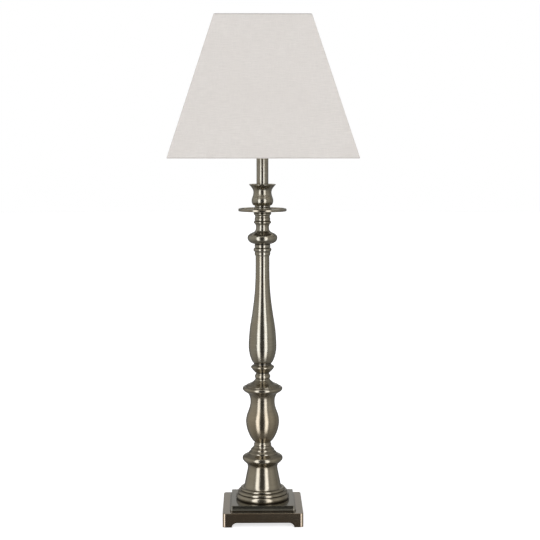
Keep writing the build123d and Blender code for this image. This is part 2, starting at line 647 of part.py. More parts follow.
# Domed cap with the rod entry and two side holes for the switch bar.
with BuildPart() as holder_cap:
    with BuildSketch(Plane.XZ):
        with BuildLine():
            Line((ROD_R + 0.05, CAP_Z), (8.0, CAP_Z))
            Line((8.0, CAP_Z), (8.6, 608.4))
            Spline((8.6, 608.4), (13.0, 610.4), (17.4, 615.4), (19.8, 622.6))
            Line((19.8, 622.6), (19.8, BARREL_Z))
            Line((19.8, BARREL_Z), (18.0, BARREL_Z))
            Line((18.0, BARREL_Z), (18.0, 622.8))
            Spline((18.0, 622.8), (15.8, 616.6), (12.0, 612.9), (8.0, 612.2))
            Line((8.0, 612.2), (ROD_R + 0.05, 612.2))
            Line((ROD_R + 0.05, 612.2), (ROD_R + 0.05, CAP_Z))
        make_face()
    revolve(axis=Axis.Z)
    with BuildSketch(Plane.YZ):
        with Locations((0, BAR_Z)):
            Circle(BAR_R + 0.5)
    extrude(amount=25, both=True, mode=Mode.SUBTRACT)
holder_cap.part.label = "holder_cap"
export_step(holder_cap.part, "parts/holder_cap.step")

# Barrel with the shade seat and an outer thread (drawn as rings).
TH = [(641.0 + 2.0 * i) for i in range(9)]
with BuildPart() as holder_barrel:
    with BuildSketch(Plane.XZ):
        with BuildLine():
            pts = [(17.3, BARREL_Z), (23.6, BARREL_Z), (24.0, BARREL_Z + 0.6), (24.0, CARRIER_Z - 0.5),
                   (23.6, CARRIER_Z - 0.1), (19.2, CARRIER_Z - 0.1), (19.2, 640.4)]
            for z in TH:
                pts += [(19.7, z), (19.7, z + 0.6), (19.1, z + 1.1), (19.1, z + 1.5)]
            pts += [(19.1, 660.0), (18.6, 661.4), (17.6, BARREL_TOP), (15.6, BARREL_TOP), (15.1, BARREL_TOP - 0.6),
                    (15.1, 657.0), (17.3, 656.4), (17.3, BARREL_Z)]
            Polyline(*pts)
        make_face()
    revolve(axis=Axis.Z)
holder_barrel.part.label = "holder_barrel"
export_step(holder_barrel.part, "parts/holder_barrel.step")

# Moulded insert that carries the contacts and guides the switch bar.
with BuildPart() as holder_insert:
    with BuildSketch(Plane.XZ):
        with BuildLine():
            Polyline((0, 617.8), (11.0, 617.8), (16.6, 623.4), (16.6, 641.0), (0, 641.0), (0, 617.8))
        make_face()
    revolve(axis=Axis.Z)
    with BuildSketch(Plane.YZ):
        with Locations((0, BAR_Z)):
            Circle(BAR_R + BAR_FIT)
    extrude(amount=25, both=True, mode=Mode.SUBTRACT)
    with BuildSketch(Plane.XY.offset(617.0)):
        with Locations((6, 0), (-6, 0)):
            Circle(1.0)
    extrude(amount=4.6, mode=Mode.SUBTRACT)
holder_insert.part.label = "holder_insert"
export_step(holder_insert.part, "parts/holder_insert.step")

# Threaded contact shell (thread drawn as rings).
SHELL_Z = 641.0
with BuildPart() as contact_shell:
    with BuildSketch(Plane.XZ):
        with BuildLine():
            inner = [(13.7, SHELL_Z)]
            for i in range(4):
                z = 644.6 + i * PITCH - PITCH / 2
                inner += [(13.7, z - 1.2), (12.75, z - 0.3), (12.75, z + 0.3), (13.7, z + 1.2)]
            inner += [(13.7, 656.2), (14.3, 656.2), (14.3, SHELL_Z), (13.7, SHELL_Z)]
            Polyline(*inner)
        make_face()
    revolve(axis=Axis.Z)
contact_shell.part.label = "contact_shell"
export_step(contact_shell.part, "parts/contact_shell.step")

# Springy centre contact on its rivet.
with BuildPart() as centre_contact:
    with BuildSketch(Plane.XZ):
        with BuildLine():
            Polyline((-9.0, 641.0), (-5.0, 641.0), (-4.0, 641.6), (2.6, 642.6), (3.4, 642.4), (3.5, 642.8),
                     (2.7, 643.1), (-4.2, 642.2), (-5.2, 641.6), (-9.0, 641.6), (-9.0, 641.0))
        make_face()
    extrude(amount=2.5, both=True)
centre_contact.part.label = "centre_contact"
export_step(centre_contact.part, "parts/centre_contact.step")

# Switch bar, pushed through from either side.
with BuildPart() as switch_bar:
    with BuildSketch(Plane.XZ):
        with BuildLine():
            x0, x1 = -22.6, 27.8
            Line((x0, BAR_Z), (x0, BAR_Z + 1.6))
            ThreePointArc((x0, BAR_Z + 1.6), (x0 + 0.3, BAR_Z + 2.25), (x0 + 1.0, BAR_Z + BAR_R))
            Line((x0 + 1.0, BAR_Z + BAR_R), (x1 - 1.0, BAR_Z + BAR_R))
            ThreePointArc((x1 - 1.0, BAR_Z + BAR_R), (x1 - 0.3, BAR_Z + 2.25), (x1, BAR_Z + 1.6))
            Line((x1, BAR_Z + 1.6), (x1, BAR_Z))
            Line((x1, BAR_Z), (x0, BAR_Z))
        make_face()
    revolve(axis=Axis((0, 0, BAR_Z), (1, 0, 0)))
switch_bar.part.label = "switch_bar"
export_step(switch_bar.part, "parts/switch_bar.step")

# Lobed threaded ring that clamps the shade's carrier.
RING_Z0, RING_Z1 = CARRIER_Z + 1.6, CARRIER_Z + 10.4
with BuildPart() as shade_ring:
    with BuildSketch(Plane.XY.offset(RING_Z0)):
        Circle(29.0)
        with PolarLocations(30.3, 18):
            Circle(2.6, mode=Mode.SUBTRACT)
    extrude(amount=RING_Z1 - RING_Z0)
    with BuildSketch(Plane.XZ):
        with BuildLine():
            Polyline((19.0, RING_Z0), (27.6, RING_Z0), (29.2, RING_Z0 + 1.2), (29.2, RING_Z1 - 2.4),
                     (26.4, RING_Z1), (19.0, RING_Z1), (19.0, RING_Z0))
        make_face()
    revolve(axis=Axis.Z, mode=Mode.INTERSECT)
    with BuildSketch(Plane.XZ):
        with BuildLine():
            Polyline((15.0, RING_Z0 - 1), (20.6, RING_Z0 - 1), (20.6, RING_Z0 + 0.2), (20.1, RING_Z0 + 0.8),
                     (20.1, RING_Z1 - 0.8), (20.6, RING_Z1 - 0.2), (20.6, RING_Z1 + 1), (15.0, RING_Z1 + 1),
                     (15.0, RING_Z0 - 1))
        make_face()
    revolve(axis=Axis.Z, mode=Mode.SUBTRACT)
shade_ring.part.label = "shade_ring"
export_step(shade_ring.part, "parts/shade_ring.step")

# ===========================================================================
# BULB
# ===========================================================================

BULB_Z = 643.6
with BuildPart() as bulb_contact:
    with BuildSketch(Plane.XZ):
        with BuildLine():
            Line((0, BULB_Z), (1.6, BULB_Z))
            ThreePointArc((1.6, BULB_Z), (2.9, BULB_Z + 0.5), (3.4, BULB_Z + 1.4))
            Line((3.4, BULB_Z + 1.4), (0, BULB_Z + 1.4))
            Line((0, BULB_Z + 1.4), (0, BULB_Z))
        make_face()
    revolve(axis=Axis.Z)
bulb_contact.part.label = "bulb_contact"
export_step(bulb_contact.part, "parts/bulb_contact.step")

with BuildPart() as bulb_insulator:
    with BuildSketch(Plane.XZ):
        with BuildLine():
            Polyline((0, BULB_Z + 1.4), (4.4, BULB_Z + 1.4), (9.6, BULB_Z + 4.2), (9.6, BULB_Z + 4.6),
                     (0, BULB_Z + 4.6), (0, BULB_Z + 1.4))
        make_face()
    revolve(axis=Axis.Z)
bulb_insulator.part.label = "bulb_insulator"
export_step(bulb_insulator.part, "parts/bulb_insulator.step")

# Screw cap of the bulb (thread drawn as rings that pass between the shell's).
with BuildPart() as bulb_cap:
    with BuildSketch(Plane.XZ):
        with BuildLine():
            z0 = BULB_Z + 4.6
            outer = [(0, z0), (9.8, z0), (12.1, z0 + 0.6)]
            for i in range(1, 5):
                z = 644.6 + i * PITCH
                outer += [(12.15, z - 1.4), (13.1, z - 0.5), (13.1, z + 0.5), (12.15, z + 1.4)]
            outer += [(12.15, 661.6), (13.2, 662.6), (13.4, 669.0), (12.6, 669.0), (12.6, 663.2), (11.4, 661.8),
                      (11.4, z0 + 1.4), (0, z0 + 1.4), (0, z0)]
            Polyline(*outer)
        make_face()
    revolve(axis=Axis.Z)
bulb_cap.part.label = "bulb_cap"
export_step(bulb_cap.part, "parts/bulb_cap.step")

# Glass globe, 60 mm across.
with BuildPart() as bulb_globe:
    with BuildSketch(Plane.XZ):
        with BuildLine():
            Line((0, 669.2), (13.5, 669.2))
            Spline((13.5, 669.2), (15.2, 676.0), (19.4, 686.4), (25.8, 698.2), (29.6, 709.4), (30.0, 717.0),
                   (28.0, 728.0), (22.4, 738.0), (13.0, 745.0), (0, 747.4), tangents=((0.1, 1), (-1, 0)))
            Line((0, 747.4), (0, 746.5))
            Spline((0, 746.5), (12.6, 744.2), (21.7, 737.4), (27.1, 727.6), (29.1, 717.0), (28.7, 709.6),
                   (24.9, 698.4), (18.5, 686.6), (14.3, 676.2), (12.6, 670.4), tangents=((1, 0), (-0.1, -1)))
            Line((12.6, 670.4), (0, 670.4))
            Line((0, 670.4), (0, 669.2))
        make_face()
    revolve(axis=Axis.Z)
bulb_globe.part.label = "bulb_globe"
export_step(bulb_globe.part, "parts/bulb_globe.step")

# Glass stem inside the globe.
with BuildPart() as bulb_stem:
    with BuildSketch(Plane.XZ):
        with BuildLine():
            Polyline((0, 670.6), (9.0, 670.6), (4.2, 680.0), (2.6, 692.0), (1.9, 716.0), (0, 717.0), (0, 670.6))
        make_face()
    revolve(axis=Axis.Z)
bulb_stem.part.label = "bulb_stem"
export_step(bulb_stem.part, "parts/bulb_stem.step")

# Four upright light filaments round the stem, on their wire supports.
with BuildPart() as bulb_filaments:
    for k in range(4):
        with BuildSketch(Plane.XY.offset(688.0).rotated((0, 0, 45 + 90 * k))):
            with Locations((9.0, 0)):
                Circle(0.9)
        extrude(amount=32.0)
bulb_filaments.part.label = "bulb_filaments"
export_step(bulb_filaments.part, "parts/bulb_filaments.step")

with BuildPart() as filament_supports:
    for k in range(4):
        with BuildSketch(Plane.XZ.rotated((0, 0, 45 + 90 * k))):
            with BuildLine():
                Polyline((3.3, 687.4), (9.9, 687.4), (9.9, 687.9), (3.3, 687.9), (3.3, 687.4))
            make_face()
            with BuildLine():
                Polyline((1.7, 720.2), (9.9, 720.2), (9.9, 720.7), (1.7, 720.7), (1.7, 720.2))
            make_face()
        extrude(amount=0.4, both=True)
    with BuildSketch(Plane.XY.offset(717.0)):
        Circle(2.0)
    extrude(amount=3.8)
filament_supports.part.label = "filament_supports"
export_step(filament_supports.part, "parts/filament_supports.step")

# ===========================================================================
# SHADE: square tapered, stiff panels covered with linen, on a wire frame
# ===========================================================================

PZ0, PZ1 = SH_Z0 + 0.8, SH_Z1 - 0.8

# Stiff backing: four mitred panels, one to each side.
with BuildPart() as shade_panels:
    for k in range(4):
        for z in (PZ0, PZ1):
            with BuildSketch(Plane.XY.offset(z).rotated((0, 0, 90 * k))):
                with BuildLine():
                    a = half(z, FAB + 0.02)
                    b = half(z, FAB + BACK)
                    m = 0.03
                    Polyline((-a + m, -a), (a - m, -a), (b - m, -b), (-b + m, -b), (-a + m, -a))
                make_face()
        loft(ruled=True)
shade_panels.part.label = "shade_panels"
export_step(shade_panels.part, "parts/shade_panels.step")

# Linen cover over the panels, turned in round the edge wires at top and bottom.
HEM = 11.0              # height of the turned-in edge
IN = FAB + BACK + 2 * WIRE + 0.3     # depth from the outer face to the turned-in edge
with BuildPart() as shade_cover:
    for z in (SH_Z0, SH_Z1):
        with BuildSketch(Plane.XY.offset(z)):
            RectangleRounded(2 * half(z), 2 * half(z), 1.2)
    loft(ruled=True)
    # clear of the panels
    for z in (SH_Z0 + FAB, SH_Z1 - FAB):
        with BuildSketch(Plane.XY.offset(z)):
            Rectangle(2 * half(z, FAB), 2 * half(z, FAB))
    loft(ruled=True, mode=Mode.SUBTRACT)
    # turned-in edges
    for z0, z1 in ((SH_Z0, SH_Z0 + HEM), (SH_Z1 - HEM, SH_Z1)):
        for z in (z0, z1):
            with BuildSketch(Plane.XY.offset(z)):
                RectangleRounded(2 * half(z, IN), 2 * half(z, IN), 3.4)
        loft(ruled=True)
    for z in (SH_Z0 - 1, SH_Z1 + 1):
        with BuildSketch(Plane.XY.offset(z)):
            RectangleRounded(2 * half(z, IN + FAB), 2 * half(z, IN + FAB), 2.9)
    loft(ruled=True, mode=Mode.SUBTRACT)
shade_cover.part.label = "shade_cover"
export_step(shade_cover.part, "parts/shade_cover.step")

# Bottom edge wire.
WZ0 = SH_Z0 + FAB + WIRE + 0.1
WZ1 = SH_Z1 - FAB - WIRE - 0.1
for_wire0 = half(WZ0, FAB + BACK + 0.15) - WIRE * HSEC
for_wire1 = half(WZ1, FAB + BACK + 0.15) - WIRE * HSEC
with BuildPart() as shade_bottom_wire:
    with BuildLine() as path0:
        w = for_wire0
        FilletPolyline((-w, -w, WZ0), (w, -w, WZ0), (w, w, WZ0), (-w, w, WZ0), radius=5.0, close=True)
    with BuildSketch(Plane(origin=path0.line @ 0, z_dir=path0.line % 0)):
        Circle(WIRE)
    sweep(path=path0.line)
shade_bottom_wire.part.label = "shade_bottom_wire"
export_step(shade_bottom_wire.part, "parts/shade_bottom_wire.step")

# Top edge wire.
with BuildPart() as shade_top_wire:
    with BuildLine() as path1:
        w = for_wire1
        FilletPolyline((-w, -w, WZ1), (w, -w, WZ1), (w, w, WZ1), (-w, w, WZ1), radius=5.0, close=True)
    with BuildSketch(Plane(origin=path1.line @ 0, z_dir=path1.line % 0)):
        Circle(WIRE)
    sweep(path=path1.line)
shade_top_wire.part.label = "shade_top_wire"
export_step(shade_top_wire.part, "parts/shade_top_wire.step")

# Corner struts between the two edge wires.
STRUT = 1.1
with BuildPart() as shade_struts:
    for k in range(4):
        za, zb = SH_Z0 + HEM + 0.5, SH_Z1 - HEM - 0.5
        ra = half(za, FAB + BACK + STRUT + 0.6) - 1.0
        rb = half(zb, FAB + BACK + STRUT + 0.6) - 1.0
        p0 = Vector(ra, ra, za).rotate(Axis.Z, 90 * k)
        p1 = Vector(rb, rb, zb).rotate(Axis.Z, 90 * k)
        with BuildSketch(Plane(origin=p0, z_dir=p1 - p0)):
            Circle(STRUT)
        extrude(amount=(p1 - p0).length)
shade_struts.part.label = "shade_struts"
export_step(shade_struts.part, "parts/shade_struts.step")

# Carrier ring that sits on the lampholder.
with BuildPart() as carrier_ring:
    with BuildSketch(Plane.XY.offset(CARRIER_Z)):
        Circle(33.0)
        Circle(20.3, mode=Mode.SUBTRACT)
    extrude(amount=1.5)
    fillet(carrier_ring.edges().filter_by(GeomType.CIRCLE).group_by(SortBy.RADIUS)[-1], 0.5)
carrier_ring.part.label = "carrier_ring"
export_step(carrier_ring.part, "parts/carrier_ring.step")

# Four wire arms from the ring down to the corners of the bottom edge wire.
ARM = 1.6
ARM_END = (for_wire0 - 5.0 + 5.0 / math.sqrt(2)) * math.sqrt(2) - 5.0
with BuildPart() as carrier_arms:
    for k in range(4):
        c, s = math.cos(math.radians(45 + 90 * k)), math.sin(math.radians(45 + 90 * k))
        with BuildLine() as arm:
            FilletPolyline((33.1 * c, 33.1 * s, CARRIER_Z + 0.75), (46.0 * c, 46.0 * s, CARRIER_Z + 0.75),
                           (ARM_END * c, ARM_END * s, WZ0 + 3.4), radius=14.0)
        with BuildSketch(Plane(origin=arm.line @ 0, z_dir=arm.line % 0)):
            Circle(ARM)
        sweep(path=arm.line)
carrier_arms.part.label = "carrier_arms"
export_step(carrier_arms.part, "parts/carrier_arms.step")
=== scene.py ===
import json
import math

import bmesh
import bpy
import numpy as np
from mathutils import Matrix, Vector


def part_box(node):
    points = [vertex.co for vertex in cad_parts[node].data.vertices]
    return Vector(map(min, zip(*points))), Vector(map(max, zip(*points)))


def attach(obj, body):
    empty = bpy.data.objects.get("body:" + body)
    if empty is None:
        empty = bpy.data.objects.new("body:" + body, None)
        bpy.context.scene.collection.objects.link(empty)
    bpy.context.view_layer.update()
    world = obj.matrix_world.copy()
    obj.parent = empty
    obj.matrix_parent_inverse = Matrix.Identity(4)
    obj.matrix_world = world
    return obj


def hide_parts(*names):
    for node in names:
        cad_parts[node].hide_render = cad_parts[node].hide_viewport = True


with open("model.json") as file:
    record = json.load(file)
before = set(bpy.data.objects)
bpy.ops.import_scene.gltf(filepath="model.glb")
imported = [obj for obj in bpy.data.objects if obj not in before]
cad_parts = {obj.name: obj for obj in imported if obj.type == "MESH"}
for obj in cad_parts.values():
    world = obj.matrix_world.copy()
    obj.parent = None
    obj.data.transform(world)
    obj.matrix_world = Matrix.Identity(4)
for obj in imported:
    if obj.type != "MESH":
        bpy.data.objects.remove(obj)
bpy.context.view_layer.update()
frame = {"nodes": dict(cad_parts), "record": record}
nodes = frame["nodes"]

# ---------------------------------------------------------------------------
# Camera: in front of the lamp, a little above its middle, tilted down 6 degrees
# ---------------------------------------------------------------------------
cam_data = bpy.data.cameras.new("view")
cam_data.sensor_width = 36.0
cam_data.lens = 89.0
cam_data.clip_start, cam_data.clip_end = 0.05, 60.0
cam = bpy.data.objects.new("view", cam_data)
bpy.context.scene.collection.objects.link(cam)
TURN = math.radians(-0.9)   # the photograph sees the lamp turned a little to the right
cam.location = Matrix.Rotation(TURN, 3, "Z") @ Vector((0.0119, -2.1076, 0.6221))
cam.rotation_euler = (math.radians(84.0), 0.0, TURN)
bpy.context.scene.camera = cam
bpy.context.scene.view_settings.view_transform = "Standard"

# ---------------------------------------------------------------------------
# Soft studio light: two tall soft sources in front with a dark gap between them,
# a grey room all round with a lighter wall behind, and a white backdrop
# ---------------------------------------------------------------------------
world = bpy.data.worlds.new("studio")
bpy.context.scene.world = world
world.use_nodes = True
wt = world.node_tree
wt.nodes.clear()


class Graph:
    """Short names for the nodes of one tree."""

    def __init__(self, tree):
        self.t = tree

    def new(self, kind, **props):
        n = self.t.nodes.new(kind)
        for k, v in props.items():
            setattr(n, k, v)
        return n

    def link(self, a, b):
        self.t.links.new(a, b)

    def put(self, socket, value):
        if isinstance(value, bpy.types.NodeSocket):
            self.link(value, socket)
        elif value is not None:
            socket.default_value = value

    def math(self, op, a, b=None, c=None, clamp=False):
        n = self.new("ShaderNodeMath", operation=op, use_clamp=clamp)
        self.put(n.inputs[0], a)
        if b is not None:
            self.put(n.inputs[1], b)
        if c is not None:
            self.put(n.inputs[2], c)
        return n.outputs[0]

    def vmath(self, op, a, b=None):
        n = self.new("ShaderNodeVectorMath", operation=op)
        self.put(n.inputs[0], a)
        if b is not None:
            if op == "SCALE":
                self.put(n.inputs["Scale"], b)
            else:
                self.put(n.inputs[1], b)
        return n.outputs["Value"] if op in ("LENGTH", "DOT_PRODUCT") else n.outputs["Vector"]

    def split(self, v):
        n = self.new("ShaderNodeSeparateXYZ")
        self.put(n.inputs[0], v)
        return n.outputs[0], n.outputs[1], n.outputs[2]

    def join(self, x, y, z):
        n = self.new("ShaderNodeCombineXYZ")
        for s, v in zip(n.inputs, (x, y, z)):
            self.put(s, v)
        return n.outputs[0]

    def ramp(self, fac, stops, mode="LINEAR"):
        n = self.new("ShaderNodeValToRGB")
        n.color_ramp.interpolation = mode
        e = n.color_ramp.elements
        while len(e) > 1:
            e.remove(e[-1])
        for i, (p, c) in enumerate(stops):
            c = (c, c, c, 1.0) if isinstance(c, (int, float)) else (*c, 1.0)
            s = e[0] if i == 0 else e.new(p)
            s.position, s.color = p, c
        self.put(n.inputs[0], fac)
        return n.outputs[0]

    def span(self, v, a, b, c=0.0, d=1.0, smooth=False):
        n = self.new("ShaderNodeMapRange")
        if smooth:
            n.interpolation_type = "SMOOTHSTEP"
        for s, x in zip(n.inputs, (v, a, b, c, d)):
            self.put(s, x)
        return n.outputs[0]

    def mix(self, fac, a, b, blend="MIX"):
        n = self.new("ShaderNodeMix", data_type="RGBA", blend_type=blend)
        self.put(n.inputs[0], fac)
        self.put(n.inputs[6], (*a, 1.0) if isinstance(a, tuple) else a)
        self.put(n.inputs[7], (*b, 1.0) if isinstance(b, tuple) else b)
        return n.outputs[2]

    def noise(self, vector, scale=1.0, detail=2.0, rough=0.5, w=None, distortion=0.0):
        n = self.new("ShaderNodeTexNoise", noise_dimensions="4D" if w is not None else "3D")
        self.put(n.inputs["Vector"], vector)
        if w is not None:
            self.put(n.inputs["W"], w)
        n.inputs["Scale"].default_value = scale
        n.inputs["Detail"].default_value = detail
        n.inputs["Roughness"].default_value = rough
        n.inputs["Distortion"].default_value = distortion
        return n.outputs[0]

    def bump(self, height, strength, distance, normal=None):
        n = self.new("ShaderNodeBump")
        n.inputs["Strength"].default_value = strength
        n.inputs["Distance"].default_value = distance
        self.put(n.inputs["Height"], height)
        if normal is not None:
            self.put(n.inputs["Normal"], normal)
        return n.outputs[0]


g = Graph(wt)
way = g.new("ShaderNodeTexCoord").outputs["Generated"]
# angle round from the camera's side, to the right, in turns: 0.5 in front, 0 and 1 behind
turned = g.new("ShaderNodeVectorRotate", rotation_type="Z_AXIS")
g.link(way, turned.inputs["Vector"])
turned.inputs["Angle"].default_value = -TURN
wx, wy, wz = g.split(turned.outputs[0])
turn = g.math("ADD", g.math("DIVIDE", g.math("ARCTAN2", wx, g.math("MULTIPLY", wy, -1.0)), 2 * math.pi), 0.5)
rise = g.math("DIVIDE", g.math("ARCSINE", wz), math.pi / 2)


def deg(x):
    return 0.5 + x / 360.0


room = g.ramp(turn, [(0.0, 0.42), (deg(-172), 0.42), (deg(-162), 0.20), (deg(-146), 0.20), (deg(-128), 0.50), (deg(-106), 0.64), (deg(-70), 0.66), (deg(-50), 0.50), (deg(-26), 0.30),
                     (deg(-15), 0.085), (deg(10), 0.085), (deg(22), 0.34), (deg(45), 0.52), (deg(66), 0.68),
                     (deg(85), 0.54), (deg(106), 0.36), (deg(128), 0.40), (deg(146), 0.18), (deg(162), 0.18), (deg(172), 0.42), (1.0, 0.42)])
# overhead and underfoot the room evens out
room = g.mix(g.span(g.math("ABSOLUTE", rise), 0.30, 0.62, 0.0, 1.0, True), room, (0.40, 0.40, 0.40))
low = g.ramp(g.span(rise, -1.0, 1.0), [(0.0, 0.55), (0.35, 0.80), (0.48, 0.95), (0.54, 1.05), (0.66, 1.0), (0.80, 0.85), (1.0, 0.8)])
boxes = g.ramp(turn, [(0.0, 0.0), (deg(-48), 0.0), (deg(-43), 1.0), (deg(-26), 1.0), (deg(-20), 0.0), (deg(15), 0.0),
                      (deg(20), 1.0), (deg(37), 1.0), (deg(42), 0.0), (1.0, 0.0)])
tall = g.math("MULTIPLY", g.span(rise, -0.60, -0.40, 0.0, 1.0, True), g.span(rise, 0.58, 0.76, 1.0, 0.0, True))
level = g.vmath("SCALE", (1.0, 0.985, 0.945), g.math("MULTIPLY", room, low))
level = g.vmath("ADD", level, g.vmath("SCALE", (0.965, 1.0, 1.10), g.math("MULTIPLY", g.math("MULTIPLY", boxes, tall), 3.1)))
grey = g.new("ShaderNodeBackground")
g.link(level, grey.inputs["Color"])
white = g.new("ShaderNodeBackground")
white.inputs["Color"].default_value = (1.0, 1.0, 1.0, 1.0)
pick = g.new("ShaderNodeMixShader")
g.link(g.new("ShaderNodeLightPath").outputs["Is Camera Ray"], pick.inputs[0])
g.link(grey.outputs[0], pick.inputs[1])
g.link(white.outputs[0], pick.inputs[2])
g.link(pick.outputs[0], g.new("ShaderNodeOutputWorld").inputs[0])

# ---------------------------------------------------------------------------
# Section of the shade's cloth, and lengths along it
# ---------------------------------------------------------------------------
lo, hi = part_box("shade_cover")
Z0, Z1 = lo.z, hi.z
HB = (hi.x - lo.x) / 2                       # half side at the bottom
HT = 0.074                                   # half side at the top
SLOPE = (HB - HT) / (Z1 - Z0)
SEC = math.sqrt(1 + SLOPE * SLOPE)
CLOTH = 0.0005
INNER = 0.0046                               # outer face to the turned-in edge
HEM = 0.011


def half_at(z, inset):
    return HB - (z - Z0) * SLOPE - inset * SEC


def arc(cx, cz, r, a0, a1, n):
    return [(cx + r * math.cos(math.radians(a0 + (a1 - a0) * i / n)),
             cz + r * math.sin(math.radians(a0 + (a1 - a0) * i / n))) for i in range(n + 1)]


# Cross-section of the cloth as (inset from the outer face, height), closed, once
# round its thickness. The outer skin runs up the face and in over the wires.
RB = 0.0015
outer = [(INNER + CLOTH, Z0 + HEM), (INNER + CLOTH, Z0 + 0.006)]
outer += [(x, z) for x, z in arc(INNER + CLOTH - RB, Z0 + RB, RB, 0, -90, 6)]
outer += [(x, z) for x, z in arc(RB, Z0 + RB, RB, -90, -180, 6)]
rows = 44
outer += [(0.0, Z0 + RB + (Z1 - Z0 - 2 * RB) * i / rows) for i in range(1, rows)]
outer += [(x, z) for x, z in arc(RB, Z1 - RB, RB, 180, 90, 6)]
outer += [(x, z) for x, z in arc(INNER + CLOTH - RB, Z1 - RB, RB, 90, 0, 6)]
outer += [(INNER + CLOTH, Z1 - 0.006), (INNER + CLOTH, Z1 - HEM)]
RI = RB - CLOTH
inner = [(INNER, Z1 - HEM), (INNER, Z1 - 0.006)]
inner += [(x, z) for x, z in arc(INNER - RI, Z1 - RB, RI, 0, 90, 6)]
inner += [(x, z) for x, z in arc(RB, Z1 - RB, RI, 90, 180, 6)]
inner += [(CLOTH, Z1 - RB - (Z1 - Z0 - 2 * RB) * i / rows) for i in range(1, rows)]
inner += [(x, z) for x, z in arc(RB, Z0 + RB, RI, 180, 270, 6)]
inner += [(x, z) for x, z in arc(INNER - RI, Z0 + RB, RI, 270, 360, 6)]
inner += [(INNER, Z0 + 0.006), (INNER, Z0 + HEM)]
section = outer + inner

# length of cloth up the section, for the weave's coordinates
sec = np.array(section)
step = np.hypot(np.diff(sec[:, 0]), np.diff(sec[:, 1]) * SEC)
up = np.concatenate([[0], np.cumsum(step)])
# where it folds over the bottom and the top wire
FOLDS = (float(up[12]), float(up[18 + rows]))

# ---------------------------------------------------------------------------
# Materials
# ---------------------------------------------------------------------------


def fresh(name):
    m = bpy.data.materials.new(name)
    m.use_nodes = True
    m.node_tree.nodes.clear()
    h = Graph(m.node_tree)
    b = h.new("ShaderNodeBsdfPrincipled")
    out = h.new("ShaderNodeOutputMaterial")
    h.link(b.outputs[0], out.inputs["Surface"])
    return m, h, b


def here(h):
    return h.new("ShaderNodeTexCoord").outputs["Object"]


def crevice(h, reach, samples=6):
    n = h.new("ShaderNodeAmbientOcclusion")
    n.samples = samples
    n.inputs["Distance"].default_value = reach
    return n.outputs["AO"]


def round_brushed(h, p):
    """Direction round the axis, radius and height of a turned surface, with no seam."""
    x, y, z = h.split(p)
    flat = h.join(x, y, 0.0)
    return h.vmath("NORMALIZE", flat), h.vmath("LENGTH", flat), z


